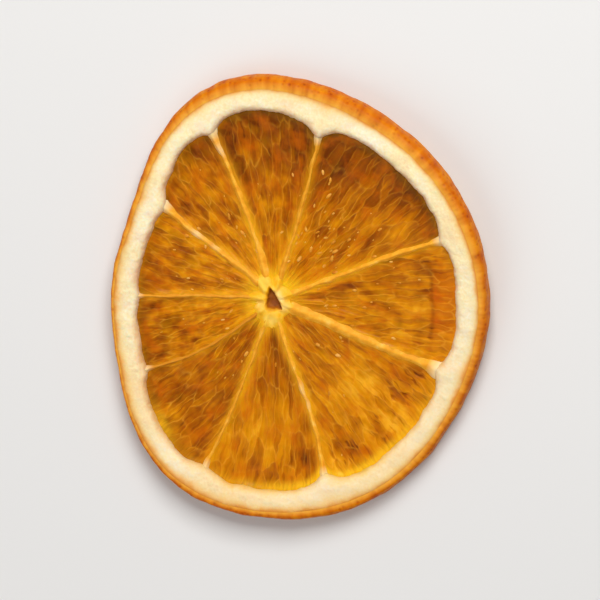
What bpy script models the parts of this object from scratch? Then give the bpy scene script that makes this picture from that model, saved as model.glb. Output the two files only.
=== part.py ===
"""A dried orange slice, lying on a table with its cut face up. Units are metres, +Z is up.

The slice is one solid: a ring of peel and white pith round nine segments of dried pulp, which
have sunk between their membranes. Everything is laid out in polar form round the core, where
the membranes meet. Sizes are given in millimetres and turned to metres at the end.
"""

import math

import bmesh
import bpy
from mathutils import Vector, noise

MM = 0.001

# Outline of the pith, seen from above, as a mean radius round the core with a few waves.
# Each wave is its number of lobes, its height in mm and its phase in degrees. The core lies off
# the middle of the slice, and the peel round it is thickest on the far side.
PITH_EDGE_MEAN = 27.0
PITH_EDGE_WAVES = (
    (1, 2.92, -12.0),
    (2, 2.2, 171.0),
    (3, 0.75, -16.0),
    (4, 0.31, 58.0),
    (5, 0.33, 145.0),
    (6, 0.21, -35.0),
)
PITH_WIDTH = 2.95
PEEL_THICKNESS_MEAN = 1.08
PEEL_THICKNESS_WAVES = ((1, 0.42, 36.0), (2, 0.28, 176.0))

# Membranes, anticlockwise: angle where each meets the pith, how far the pith reaches in along
# it in mm, how many degrees it swings as it nears the core, and how many it bows halfway.
MEMBRANES = (
    (-149.5, 0.8, 12.0, 4.0),
    (-111.7, 0.9, 2.5, 1.2),
    (-73.8, 1.8, -4.0, 2.6),
    (-21.4, 1.6, 0.0, -0.5),
    (21.5, 1.0, -2.0, 1.0),
    (74.6, 2.1, -2.0, -1.2),
    (110.2, 1.6, -4.0, -1.7),
    (140.3, 1.1, -9.0, 1.5),
    (180.4, 0.5, -4.0, 0.0),
)
# Shoulders, where the pith is thicker between membranes: angle, depth and half width in mm
PITH_SHOULDERS = (
    (-160.0, 0.35, 3.5),
    (-52.0, 0.25, 3.0),
    (3.0, 0.4, 4.0),
    (82.0, 0.6, 4.0),
)
REACH_HALF_WIDTH = 1.9  # half the width of the pith where it reaches in along a membrane
REACH_SHARPNESS = 1.4  # 1 for a thorn with straight sides, 2 for a round nose
MEMBRANE_HALF_WIDTH = 0.75  # at its foot on the pulp
MEMBRANE_SHARE = 0.2  # the most of a segment's angle that this may take near the core
MEMBRANE_RISE = 0.4  # how far a membrane stands out of the pulp
MEMBRANE_FLANK = 0.45  # the share of that rise halfway down its side

# Heights over the slice's middle plane. The underside is the same, slightly flatter.
PITH_HEIGHT = 2.2
PITH_LIP_HEIGHT = 1.9
PITH_LIP_SETBACK = 0.3
PEEL_EDGE_HEIGHTS = (2.07, 1.95, 1.45)  # where the peel starts, past its middle, at its side
PEEL_EDGE_MIDDLE = 0.6
PEEL_BULGE = 0.12
PULP_HEIGHT = 0.78
PULP_SAG = 0.22
UNDERSIDE_SHARE = 0.95

# The core has a three-sided pit in its middle. Each side has an angle that it faces and a
# distance from the middle. The profile climbs from the pit's floor, at share 0, to its edge, at
# 1, and over the crest round it towards the pulp, at 2.
PIT_SIDES = ((170.7, 0.85), (-90.0, 1.35), (30.5, 0.62))
PIT_CORNER = 4.0  # higher for sharper corners
PIT_DEPTH_HEIGHT = 0.3
CORE_PROFILE = ((0.7, 0.42), (0.92, 1.0), (1.0, 1.3), (1.5, 1.42))
CORE_RADIUS = 2.3
CORE_RISE = 0.5  # how far the pulp climbs to the core
CORE_RISE_END = 0.12  # the share of the way to the pith where that climb starts

# How the slice bent as it dried: its rim rises and falls, and it is slightly dished. It rests
# on its rim at three places, which the drying rack pressed flat.
BEND_RADIUS = 28.0
BEND_WAVES = ((2, 0.4, 35.0), (3, 0.6, 80.0))
DISH_RISE = 0.3
RESTING_ANGLES = (87.0, 207.0, 327.0)
PRESSED_DEPTH = 0.4

# Unevenness of the surfaces: its height and size, and where its own pattern is read.
PULP_RELIEF = 0.28
PULP_STREAK_WIDTH = 4.0  # against the pith, and narrower inwards
PULP_STREAK_LENGTH = 5.0
PULP_SMOOTH_RADIUS = 12.0  # inside this the streaks fade towards the core
PULP_PATTERN = 7.0
PITH_RELIEF = 0.2
PITH_LUMP_SIZE = 2.6
PITH_PATTERN = 9.0
CORE_LUMP_SIZE = 1.0
PEEL_RELIEF = 0.22
PEEL_DENT_SIZE = 3.0
PEEL_PATTERN = 2.0

# Density of the mesh, and how far its columns crowd towards the membranes, from 0 to 1
COLUMN_PITCH_DEG = 4.2
COLUMN_CROWDING = 0.67
PULP_ROWS = 11
SHARP_EDGE_DEG = 50.0


def waves(mean, table, angle):
    """A mean value with waves round the circle. The angle is in radians."""
    return mean + sum(
        height * math.cos(lobes * angle - math.radians(phase)) for lobes, height, phase in table
    )


def place(angle, radius):
    """Where a polar place lies in x and y."""
    return radius * math.cos(angle), radius * math.sin(angle)


def pith_edge(angle):
    """Radius where the pith ends and the peel begins."""
    return waves(PITH_EDGE_MEAN, PITH_EDGE_WAVES, angle)


def peel_thickness(angle):
    """How thick the peel is, where its side begins to round off."""
    return waves(PEEL_THICKNESS_MEAN, PEEL_THICKNESS_WAVES, angle)


def pulp_edge(angle):
    """Radius where the pulp ends and the pith begins, drawn in at membranes and shoulders."""
    outside = pith_edge(angle)
    radius = outside - PITH_WIDTH
    reaches = [(at_pith, reach, REACH_HALF_WIDTH) for at_pith, reach, _, _ in MEMBRANES]
    for middle, depth, half_width in (*reaches, *PITH_SHOULDERS):
        away = abs(math.remainder(angle - math.radians(middle), math.tau)) * outside
        radius -= depth * math.exp(-((away / half_width) ** REACH_SHARPNESS))
    return radius


def pit_edge(angle):
    """Radius of the pit in the core."""
    nearness = sum(
        max(0.0, math.cos(angle - math.radians(facing)) / distance) ** PIT_CORNER
        for facing, distance in PIT_SIDES
    )
    return nearness ** (-1.0 / PIT_CORNER)


def membrane_angle(index, outwards):
    """Angle of a membrane, from 0 at the core to 1 at the pith."""
    at_pith, _, swing, bow = MEMBRANES[index % len(MEMBRANES)]
    turns = index // len(MEMBRANES)
    bent_by = swing * (1.0 - outwards) ** 2 + bow * math.sin(math.pi * outwards)
    return math.radians(at_pith + 360.0 * turns + bent_by)


def columns(outwards):
    """(angle, share of a membrane's rise) of each column of points, anticlockwise.

    Each membrane has a column on its ridge, two on its flanks and two at its feet. Between the
    feet of two membranes the columns crowd towards both, where the pith's edge turns sharply.
    """
    found = []
    radius = CORE_RADIUS + outwards * (PITH_EDGE_MEAN - CORE_RADIUS)
    for index in range(len(MEMBRANES)):
        start, end = (membrane_angle(index + step, outwards) for step in (0, 1))
        at_pith, next_at_pith = (membrane_angle(index + step, 1.0) for step in (0, 1))
        foot = min(MEMBRANE_HALF_WIDTH / radius, MEMBRANE_SHARE * (end - start))
        between = round(math.degrees(next_at_pith - at_pith) / COLUMN_PITCH_DEG)
        found += [(start, 1.0), (start + foot / 2, MEMBRANE_FLANK)]
        for step in range(between + 1):
            even = step / between
            crowded = (1.0 - math.cos(math.pi * even)) / 2
            share = even + COLUMN_CROWDING * (crowded - even)
            found.append((start + foot + (end - start - 2 * foot) * share, 0.0))
        found.append((end - foot / 2, MEMBRANE_FLANK))
    return found


def lumps(x, y, pattern, size):
    """Smooth unevenness of about that size, mostly between -0.7 and 0.7."""
    return noise.noise(Vector((x / size, y / size, pattern)))


def streaks(angle, radius, side):
    """Uneven height of the dried juice sacs, which lie in streaks that point to the core."""
    across = angle * PITH_EDGE_MEAN / PULP_STREAK_WIDTH
    fade = min(1.0, radius / PULP_SMOOTH_RADIUS)
    return fade * lumps(across, radius / PULP_STREAK_LENGTH, PULP_PATTERN * side, 1.0)


def core_rows(side):
    """Rows round the core: the pit's wall, its lip and the crest round it."""
    rows = []
    for share, height in CORE_PROFILE:
        row = []
        for angle, _ in columns(0.0):
            pit = pit_edge(angle)
            radius = pit * min(share, 1.0) + (CORE_RADIUS - pit) * max(share - 1.0, 0.0)
            x, y = place(angle, radius)
            bump = PITH_RELIEF * lumps(x, y, PITH_PATTERN * side, CORE_LUMP_SIZE)
            row.append((angle, radius, height + bump))
        rows.append(("pith", row))
    return rows


def pulp_rows(side):
    """Rows over the sunken pulp, from the core to the pith, with the membranes standing out."""
    rows = []
    for step in range(PULP_ROWS + 1):
        outwards = step / PULP_ROWS
        near_core = max(0.0, 1.0 - outwards / CORE_RISE_END)
        level = PULP_HEIGHT - PULP_SAG * math.sin(math.pi * outwards)
        row = []
        for angle, membrane in columns(outwards):
            radius = CORE_RADIUS + outwards * (pulp_edge(angle) - CORE_RADIUS)
            rise = membrane * MEMBRANE_RISE * (1.0 - near_core / 2) + near_core * CORE_RISE
            relief = (1.0 - membrane) * PULP_RELIEF * streaks(angle, radius, side)
            row.append((angle, radius, level + rise + relief))
        rows.append(("pulp", row))
    return rows


def rim_profile(angle, side):
    """(radius, height) up the pith's inner wall, over its crest, and down to the peel's side."""
    inside, outside = pulp_edge(angle), pith_edge(angle)
    crest = (inside + outside) / 2
    skin = peel_thickness(angle)
    bump = PITH_RELIEF * lumps(*place(angle, crest), PITH_PATTERN * side, PITH_LUMP_SIZE)
    dent = PEEL_RELIEF * lumps(*place(angle, outside), PEEL_PATTERN * side, PEEL_DENT_SIZE)
    peel_start, peel_middle, peel_side = PEEL_EDGE_HEIGHTS
    return (
        (inside + PITH_LIP_SETBACK, PITH_LIP_HEIGHT + bump / 2),
        (crest, PITH_HEIGHT + bump),
        (outside, peel_start + bump / 2),
        (outside + PEEL_EDGE_MIDDLE * skin, peel_middle),
        (outside + skin + dent, peel_side),
    )


def rim_rows(side):
    """Rows over the pith and the peel."""
    turned = [angle for angle, _ in columns(1.0)]
    profiles = [rim_profile(angle, side) for angle in turned]
    rows = []
    for part, across in zip(("pith", "pith", "pith", "peel", "peel"), zip(*profiles)):
        rows.append((part, [(angle, *point) for angle, point in zip(turned, across)]))
    return rows


def side_row():
    """The row round the middle of the peel's side, where it bulges a little."""
    row = []
    for angle, _ in columns(1.0):
        outside = pith_edge(angle)
        dent = PEEL_RELIEF * lumps(*place(angle, outside), 0.0, PEEL_DENT_SIZE)
        row.append((angle, outside + peel_thickness(angle) + PEEL_BULGE + dent, 0.0))
    return ("peel", row)


def face_rows(side):
    """All rows of one face, from the core out to the peel's side. The side is 1 or -1."""
    flip = 1.0 if side > 0 else -UNDERSIDE_SHARE
    rows = core_rows(side) + pulp_rows(side) + rim_rows(side)
    return [(part, [(angle, radius, flip * z) for angle, radius, z in row]) for part, row in rows]


def bend(x, y):
    """How far the drying bent the slice up or down at a place, before it settled."""
    share = math.hypot(x, y) / BEND_RADIUS
    return waves(DISH_RISE, BEND_WAVES, math.atan2(y, x)) * share * share


def settled_slope():
    """Slope in x and y of the plane through the three places that the bent slice rests on."""
    spots = []
    for angle in map(math.radians, RESTING_ANGLES):
        x, y = place(angle, (pulp_edge(angle) + pith_edge(angle)) / 2)
        spots.append(Vector((x, y, bend(x, y))))
    normal = (spots[1] - spots[0]).cross(spots[2] - spots[0])
    return -normal.x / normal.z, -normal.y / normal.z


SLOPE_X, SLOPE_Y = settled_slope()


def settled(angle, radius, height):
    """A point of the flat slice, moved to where the bent and settled slice has it."""
    x, y = place(angle, radius)
    return Vector((x, y, height + bend(x, y) - SLOPE_X * x - SLOPE_Y * y))


def press_flat(mesh):
    """Flattens the lowest places onto the table, under the middle of the slice at the origin."""
    lowest = min(vert.co.z for vert in mesh.verts) + PRESSED_DEPTH
    for vert in mesh.verts:
        vert.co.z = max(vert.co.z - lowest, 0.0)
    middle = []
    for axis in (0, 1):
        reach = [vert.co[axis] for vert in mesh.verts]
        middle.append((min(reach) + max(reach)) / 2)
    bmesh.ops.translate(mesh, vec=(-middle[0], -middle[1], 0.0), verts=mesh.verts)


def slice_mesh(parts):
    """The whole slice as one closed mesh, whose faces name their part by its place in parts."""
    rows = face_rows(1) + [side_row()] + face_rows(-1)[::-1]
    mesh = bmesh.new()
    grid = [[mesh.verts.new(settled(*point)) for point in row] for _, row in rows]
    upper_pit = mesh.verts.new(settled(0.0, 0.0, PIT_DEPTH_HEIGHT))
    lower_pit = mesh.verts.new(settled(0.0, 0.0, -UNDERSIDE_SHARE * PIT_DEPTH_HEIGHT))
    count = len(grid[0])
    for i in range(count):
        j = (i + 1) % count
        mesh.faces.new((upper_pit, grid[0][i], grid[0][j])).material_index = parts.index("pith")
        mesh.faces.new((lower_pit, grid[-1][j], grid[-1][i])).material_index = parts.index("pith")
        for inner, outer, (part, _), (next_part, _) in zip(grid, grid[1:], rows, rows[1:]):
            face = mesh.faces.new((inner[i], outer[i], outer[j], inner[j]))
            face.material_index = max(parts.index(part), parts.index(next_part))
    press_flat(mesh)
    bmesh.ops.scale(mesh, vec=(MM, MM, MM), verts=mesh.verts)
    bmesh.ops.recalc_face_normals(mesh, faces=mesh.faces)
    return mesh


def finish(name, colour, roughness):
    """A material with the colour and gloss of one part of the dried fruit."""
    material = bpy.data.materials.new(name)
    material.use_nodes = True
    shader = material.node_tree.nodes["Principled BSDF"]
    shader.inputs["Base Color"].default_value = (*colour, 1.0)
    shader.inputs["Roughness"].default_value = roughness
    shader.inputs["Metallic"].default_value = 0.0
    return material


def orange_slice():
    """The slice as an object, its pulp, pith and peel in their own colours."""
    finishes = {
        "pulp": finish("dried_pulp", (0.52, 0.18, 0.01), 0.35),
        "pith": finish("dried_pith", (0.90, 0.74, 0.50), 0.85),
        "peel": finish("dried_peel", (0.75, 0.20, 0.02), 0.55),
    }
    data = bpy.data.meshes.new("orange_slice")
    mesh = slice_mesh(list(finishes))
    mesh.to_mesh(data)
    mesh.free()
    for material in finishes.values():
        data.materials.append(material)
    data.shade_smooth()
    data.set_sharp_from_angle(angle=math.radians(SHARP_EDGE_DEG))
    bpy.context.scene.collection.objects.link(bpy.data.objects.new("orange_slice", data))


def main():
    for old in list(bpy.data.objects):
        bpy.data.objects.remove(old)
    orange_slice()


main()
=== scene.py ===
"""The looks of a dried orange slice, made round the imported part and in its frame.

Sizes are in millimetres and angles in degrees. Meshes are made in metres, with +Z up.
"""

import math

import bmesh
import bpy
import numpy as np
from mathutils import Matrix, Vector, noise


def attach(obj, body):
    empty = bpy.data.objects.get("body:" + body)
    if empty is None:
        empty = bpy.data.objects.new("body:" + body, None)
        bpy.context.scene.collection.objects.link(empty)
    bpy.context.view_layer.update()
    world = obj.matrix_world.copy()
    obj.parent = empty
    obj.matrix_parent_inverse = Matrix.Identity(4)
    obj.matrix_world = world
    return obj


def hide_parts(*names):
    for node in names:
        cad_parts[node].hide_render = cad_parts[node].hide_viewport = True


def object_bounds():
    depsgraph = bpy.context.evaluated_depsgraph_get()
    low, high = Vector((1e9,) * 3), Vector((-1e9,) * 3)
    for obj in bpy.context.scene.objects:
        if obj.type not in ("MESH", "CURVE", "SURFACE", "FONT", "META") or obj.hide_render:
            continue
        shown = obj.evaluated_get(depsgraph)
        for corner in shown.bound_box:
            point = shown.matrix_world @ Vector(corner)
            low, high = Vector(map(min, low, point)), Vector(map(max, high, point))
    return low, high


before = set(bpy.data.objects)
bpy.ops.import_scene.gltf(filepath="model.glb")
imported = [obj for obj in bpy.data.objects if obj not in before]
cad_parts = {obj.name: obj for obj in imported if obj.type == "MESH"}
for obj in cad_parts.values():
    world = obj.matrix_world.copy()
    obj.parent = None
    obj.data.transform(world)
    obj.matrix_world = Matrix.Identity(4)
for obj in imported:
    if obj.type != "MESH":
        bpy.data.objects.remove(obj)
cad_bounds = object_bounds()


# The pith
# The white spongy layer under the peel, which dries to a cream, cottony ring. It was cut
# through with the slice, stands up round the sunken pulp on both faces, and reaches in along
# each membrane. The juice stained the foot of its inner wall. That stain is painted bright
# yellow where the wall faces the main light and darker orange on the shaded far side.

MM = 0.001
PITH_EDGE_MEAN = 27.0
PITH_EDGE_WAVES = (  # lobes, height and phase
    (1, 2.92, -12.0), (2, 2.2, 171.0), (3, 0.75, -16.0), (4, 0.31, 58.0), (5, 0.33, 145.0),
    (6, 0.21, -35.0),
)
PITH_WIDTH = 2.95
PEEL_WIDTH_MEAN = 1.2
PEEL_WIDTH_WAVES = ((1, 0.42, 36.0), (2, 0.28, 176.0))
PEEL_RELIEF = 0.22
PEEL_DENT_SIZE = 3.0
MEMBRANES = (  # angle at the pith, reach of the pith along it, swing towards the core, bow
    (-149.5, 0.8, 12.0, 4.0),
    (-111.7, 0.9, 2.5, 1.2),
    (-73.8, 1.8, -4.0, 2.6),
    (-21.4, 1.6, 0.0, -0.5),
    (21.5, 1.0, -2.0, 1.0),
    (74.6, 2.1, -2.0, -1.2),
    (110.2, 1.6, -4.0, -1.7),
    (140.3, 1.1, -9.0, 1.5),
    (180.4, 0.5, -4.0, 0.0),
)
PITH_SHOULDERS = (  # angle, depth and half width of the places where the pith is thicker
    (-160.0, 0.35, 3.5),
    (-52.0, 0.25, 3.0),
    (3.0, 0.4, 4.0),
    (82.0, 0.6, 4.0),
)
REACH_HALF_WIDTH = 1.9
REACH_SHARPNESS = 1.4
PITH_HEIGHT = 2.2
PITH_OUTER_HEIGHT = 2.07
PITH_FOOT_HEIGHT = 0.45
PITH_WALL_ROUNDING = 3.5
UNDERSIDE_SHARE = 0.95
PITH_RELIEF = 0.2
PITH_LUMP_SIZE = 2.6
PITH_PATTERN = 9.0
PITH_BUMPS_FULL = 0.25  # share of the width over which the bumps grow from the foot
BEND_RADIUS = 28.0
BEND_WAVES = ((2, 0.4, 35.0), (3, 0.6, 80.0))
DISH_RISE = 0.3
RESTING_ANGLES = (87.0, 207.0, 327.0)
PRESSED_DEPTH = 0.4
RIM_COLUMNS = 1280
WALL_ROWS = 17  # over the inner half of the pith, closest at the foot of its wall
TOP_ROWS = 8
TOP_START = 0.55
SEAM_OVERLAP = 0.15  # how far pith and peel run on under each other
SEAM_DIP = 0.06
NIBBLE = 0.24  # how unevenly its inner edge follows the ends of the sacs
NIBBLE_SIZE = 2.3
STAIN_HEIGHT = 2.2  # how far up the wall the juice crept
STAIN_POWER = 0.65
LIT_WALL_ANGLE = -70.0  # where the wall faces the main light, so its stain is painted brightest and yellowest there
LIT_WALL_SPREAD = 1.5
STAIN_ELSEWHERE = 0.8
PALE_RIND_ANGLE = 55.0  # where the pith and the skin's cut run most softly into each other
RIND_ZONE = 0.5  # share of the width that yellows towards the peel
RIND_POWER_MEAN = 0.95
RIND_POWER_WAVES = ((1, 0.35, PALE_RIND_ANGLE),)
PITH_PATCH_SIZE = 7.7
PITH_CLOUD_SIZE = 2.38
PITH_GRAIN_SIZE = 0.345
PITH_TEXTURE = {"Hollow Size": 0.9, "Hollow Depth": 0.3, "Grain Size": 0.4, "Grain Depth": 0.12}


def waves(mean, table, angle):
    """A mean value with waves of some lobes, height and phase round the circle."""
    return mean + sum(
        height * np.cos(lobes * angle - math.radians(phase)) for lobes, height, phase in table
    )


def ramp(value, start, end):
    """From 0 at the start to 1 at the end, and level beyond them."""
    return np.clip((value - start) / (end - start), 0.0, 1.0)


def fading(distance, half_width, sharpness=2):
    """From 1 in the middle of something to nearly 0 well outside it."""
    return np.exp(-(np.abs(distance / half_width) ** sharpness))


def turned(angle, middle):
    """How far an angle in radians is from a middle in degrees, in radians either way."""
    return (angle - math.radians(middle) + math.pi) % math.tau - math.pi


def polar(angle, radius):
    """The x and y of a place of the flat slice."""
    return radius * np.cos(angle), radius * np.sin(angle)


def pith_edge(angle):
    """Radius where the pith ends and the peel begins."""
    return waves(PITH_EDGE_MEAN, PITH_EDGE_WAVES, angle)


def peel_width(angle):
    """How thick the peel is at half its height."""
    return waves(PEEL_WIDTH_MEAN, PEEL_WIDTH_WAVES, angle)


def pulp_edge(angle):
    """Radius where the pulp ends and the pith begins, drawn in at each membrane."""
    outside = pith_edge(angle)
    radius = outside - PITH_WIDTH
    reaches = [(at_pith, reach, REACH_HALF_WIDTH) for at_pith, reach, _, _ in MEMBRANES]
    for middle, depth, half_width in (*reaches, *PITH_SHOULDERS):
        away = turned(angle, middle) * outside
        radius = radius - depth * fading(away, half_width, REACH_SHARPNESS)
    return radius


def pith_crest(angle):
    """Radius halfway over the pith, where it stands highest."""
    return (pulp_edge(angle) + pith_edge(angle)) / 2


def lumps(x, y, pattern, size):
    """Smooth unevenness of about that size, mostly between -0.7 and 0.7."""
    places = np.broadcast_arrays(x / size, y / size, pattern)
    flat = np.stack([part.ravel() for part in places], axis=1).tolist()
    return np.array([noise.noise(place) for place in flat]).reshape(places[0].shape)


def peel_dent(angle, pattern):
    """How far the peel bulges or dents there."""
    return PEEL_RELIEF * lumps(*polar(angle, pith_edge(angle)), pattern, PEEL_DENT_SIZE)


def pith_bumps(angle, radius, side):
    """Uneven height of the pith on the upper face, side 1, or the under face, side -1."""
    return PITH_RELIEF * lumps(*polar(angle, radius), PITH_PATTERN * side, PITH_LUMP_SIZE)


def on_side(height, side):
    """That height on the upper face, or below the middle on the flatter under face."""
    return height if side > 0 else -UNDERSIDE_SHARE * height


def bend(angle, radius):
    """How far the drying bent the slice up or down at a place, before it settled."""
    return waves(DISH_RISE, BEND_WAVES, angle) * (radius / BEND_RADIUS) ** 2


resting = np.radians(RESTING_ANGLES)
SLOPE_X, SLOPE_Y, _ = np.linalg.solve(
    np.stack([*polar(resting, pith_crest(resting)), np.ones(3)], axis=1),
    bend(resting, pith_crest(resting)),
)


def bent(angle, radius, height):
    """Height of a place of the flat slice once it is bent and stands on three spots."""
    x, y = polar(angle, radius)
    return height + bend(angle, radius) - (SLOPE_X * x + SLOPE_Y * y)


around = np.linspace(-math.pi, math.pi, RIM_COLUMNS, endpoint=False)
around = around + math.radians(MEMBRANES[0][0])
outline = pith_edge(around) + peel_width(around) + peel_dent(around, 0.0)
outline = np.stack(polar(around, outline))
MIDDLE_X, MIDDLE_Y = (outline.min(axis=1) + outline.max(axis=1)) / 2
under_crest = on_side(PITH_HEIGHT + pith_bumps(around, pith_crest(around), -1), -1)
TABLE_HEIGHT = bent(around, pith_crest(around), under_crest).min() + PRESSED_DEPTH


def settled(angle, radius, height):
    """Where a polar place of the flat slice lies in the frame, in metres."""
    angle, radius, height = np.broadcast_arrays(angle, radius, height)
    x, y = polar(angle, radius)
    z = np.maximum(bent(angle, radius, height) - TABLE_HEIGHT, 0.0)
    return np.stack([x - MIDDLE_X, y - MIDDLE_Y, z], axis=-1) * MM


def mark(mesh, marks):
    """Keeps marks as attributes of those names, with a number or a vector at each place."""
    for name, values in marks.items():
        values = np.asarray(values, dtype=np.float32).ravel()
        many = values.size > len(mesh.vertices)
        layer = mesh.attributes.new(name, "FLOAT_VECTOR" if many else "FLOAT", "POINT")
        layer.data.foreach_set("vector" if many else "value", values)


def placed(name, data):
    """Puts a mesh, a light or the camera into the scene under its name."""
    thing = bpy.data.objects.new(name, data)
    bpy.context.scene.collection.objects.link(thing)
    return thing


def tube(name, rings, marks, joined=False):
    """A closed piece through rings of places. Its ends join, or a strip of faces closes each."""
    count, size = rings.shape[:2]
    index = np.arange(count * size).reshape(count, size)
    near = index if joined else index[:-1]
    far = np.roll(index, -1, axis=0) if joined else index[1:]
    quads = [near, np.roll(near, -1, axis=1), np.roll(far, -1, axis=1), far]
    faces = np.stack(quads, axis=-1).reshape(-1, 4).tolist()
    if not joined:
        for end in (index[0], index[-1]):
            half, other = end[: size // 2], end[: size // 2 - 1 : -1]
            faces += np.stack([half[:-1], half[1:], other[1:], other[:-1]], axis=-1).tolist()
    mesh = bpy.data.meshes.new(name)
    mesh.from_pydata(rings.reshape(-1, 3).tolist(), [], faces)
    mark(mesh, marks)
    outwards = bmesh.new()
    outwards.from_mesh(mesh)
    bmesh.ops.recalc_face_normals(outwards, faces=outwards.faces)
    outwards.to_mesh(mesh)
    outwards.free()
    mesh.shade_smooth()
    return placed(name, mesh)


def colour(code):
    """An sRGB hex colour as a linear one."""
    values = [int(code[i : i + 2], 16) / 255 for i in (1, 3, 5)]
    linear = [v / 12.92 if v <= 0.04045 else ((v + 0.055) / 1.055) ** 2.4 for v in values]
    return (*linear, 1.0)


def new_finish(name, constants):
    """A new material, its node tree and its shader, with what is the same all over it."""
    material = bpy.data.materials.new(name)
    material.use_nodes = True
    shader = material.node_tree.nodes["Principled BSDF"]
    for socket, value in constants.items():
        shader.inputs[socket].default_value = value
    return material, material.node_tree, shader


def add(tree, kind, inputs=None, out=0, stops=(), **settings):
    """Adds a node with its settings, its inputs from values or other nodes, and the stops of
    its ramp, and returns one of its outputs. A kind with no prefix is a shader node."""
    whole = kind.startswith(("GeometryNode", "FunctionNode"))
    made = tree.nodes.new(kind if whole else f"ShaderNode{kind}")
    for name, value in settings.items():
        setattr(made, name, value)
    for key, value in (inputs or {}).items():
        if isinstance(value, bpy.types.NodeSocket):
            tree.links.new(value, made.inputs[key])
        else:
            made.inputs[key].default_value = value
    for step, (position, code) in enumerate(stops):
        ends = step in (0, len(stops) - 1)
        steps = made.color_ramp.elements
        stop = steps[0 if step == 0 else -1] if ends else steps.new(position)
        stop.position = position
        stop.color = colour(code)
    return made.outputs[out]


def paint(shader, sources):
    """Ends a material: what varies over it goes to its shader."""
    for socket, source in sources.items():
        shader.id_data.links.new(source, shader.inputs[socket])


def shape_tree(name, sizes):
    """A tree of geometry nodes with named sizes, and its two ends."""
    tree = bpy.data.node_groups.new(name, "GeometryNodeTree")
    tree.interface.new_socket("Geometry", in_out="INPUT", socket_type="NodeSocketGeometry")
    tree.interface.new_socket("Geometry", in_out="OUTPUT", socket_type="NodeSocketGeometry")
    for size in sizes:
        tree.interface.new_socket(size, in_out="INPUT", socket_type="NodeSocketFloat")
    return tree, tree.nodes.new("NodeGroupInput").outputs, tree.nodes.new("NodeGroupOutput")


def finish_shape(tree, made, shape, finish):
    """Ends a tree: its shape becomes a plain mesh in its finish."""
    shape = add(tree, "GeometryNodeRealizeInstances", {"Geometry": shape})
    shape = add(tree, "GeometryNodeSetMaterial", {"Geometry": shape, "Material": finish})
    tree.links.new(shape, made.inputs[0])


def raise_skin(tree, given, made, rise, finish):
    """Ends a tree: the skin of what it was given rises or sinks along its normals."""
    normal = add(tree, "GeometryNodeInputNormal")
    shift = add(tree, "VectorMath", {0: normal, "Scale": rise}, operation="SCALE")
    raised = {"Geometry": given["Geometry"], "Offset": shift}
    finish_shape(tree, made, add(tree, "GeometryNodeSetPosition", raised), finish)


def grow(piece, tree, sizes):
    """Runs a tree of geometry nodes on a piece, with sizes in mm, and keeps what it makes."""
    modifier = piece.modifiers.new(tree.name, "NODES")
    modifier.node_group = tree
    for socket in tree.interface.items_tree:
        if socket.in_out == "INPUT" and socket.name in sizes:
            modifier[socket.identifier] = sizes[socket.name] * MM
    bpy.context.view_layer.update()
    graph = bpy.context.evaluated_depsgraph_get()
    grown = bpy.data.meshes.new_from_object(
        piece.evaluated_get(graph), preserve_all_data_layers=True, depsgraph=graph
    )
    piece.modifiers.remove(modifier)
    piece.data = grown
    grown.name = piece.name
    grown.shade_smooth()


# Dried albedo is dead white cellulose foam, so it is matt and lets light seep in. The grain is
# drawn at 0.35 mm, coarser than the real cells, so that it shows.
pith_finish, tree, shader = new_finish(
    "dried_albedo",
    {
        "Roughness": 0.9,
        "IOR": 1.45,
        "Specular IOR Level": 0.25,
        "Subsurface Weight": 0.6,
        "Subsurface Radius": (1.0, 0.75, 0.45),
        "Subsurface Scale": 1.1 * MM,
        "Sheen Weight": 0.15,
    },
)
place = add(tree, "TexCoord", out="Object")
stain, rind, facing_light = (
    add(tree, "Attribute", out="Fac", attribute_name=name)
    for name in ("stain", "rind", "stain_painted_light")
)
wide, cloud, grain = (
    add(tree, "TexNoise", {"Vector": place, "Scale": 1 / (size * MM), "Detail": detail})
    for size, detail in ((PITH_PATCH_SIZE, 1.0), (PITH_CLOUD_SIZE, 4.0), (PITH_GRAIN_SIZE, 3.0))
)
uneven = 0.0
for pattern in (wide, cloud, grain):
    uneven = add(tree, "Math", {0: pattern, 1: 1 / 3, 2: uneven}, operation="MULTIPLY_ADD")
whole = add(
    tree, "ValToRGB", {0: uneven}, stops=((0.35, "#F9D6A2"), (0.48, "#FFE6B6"), (0.62, "#FFF2D8"))
)
# The stain is painted from a darker orange on the shaded far side to a bright yellow where the wall
# faces the main light. The whole pith is also painted warmer on that lit side.
stain_painted_light = add(tree, "ValToRGB", {0: facing_light}, stops=((0.0, "#DC9030"), (1.0, "#F4C02C")))
lit_side_warmth = add(tree, "Math", {0: facing_light, 1: 0.4}, operation="MULTIPLY")
rubbed = add(tree, "MapRange", {0: cloud, 1: 0.3, 2: 0.7, 3: -0.25, 4: 0.25})
stained = add(tree, "Math", {0: stain, 1: rubbed}, operation="ADD", use_clamp=True)
yellowed = add(tree, "Math", {0: rind, 1: rubbed}, operation="ADD", use_clamp=True)
yellowed = add(tree, "Math", {0: yellowed, 1: rind}, operation="MULTIPLY")
reddened = add(tree, "Math", {0: yellowed, 1: 2.2}, operation="POWER")
for mask, tint in (
    (lit_side_warmth, colour("#F8CE96")),
    (stained, stain_painted_light),
    (yellowed, colour("#FFD578")),
    (reddened, colour("#EA8C2C")),
):
    whole = add(tree, "Mix", {0: mask, 6: whole, 7: tint}, 2, data_type="RGBA")
bump = add(tree, "Bump", {"Height": grain, "Distance": 0.12 * MM, "Strength": 0.6})
paint(shader, {"Base Color": whole, "Normal": bump})

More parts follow.
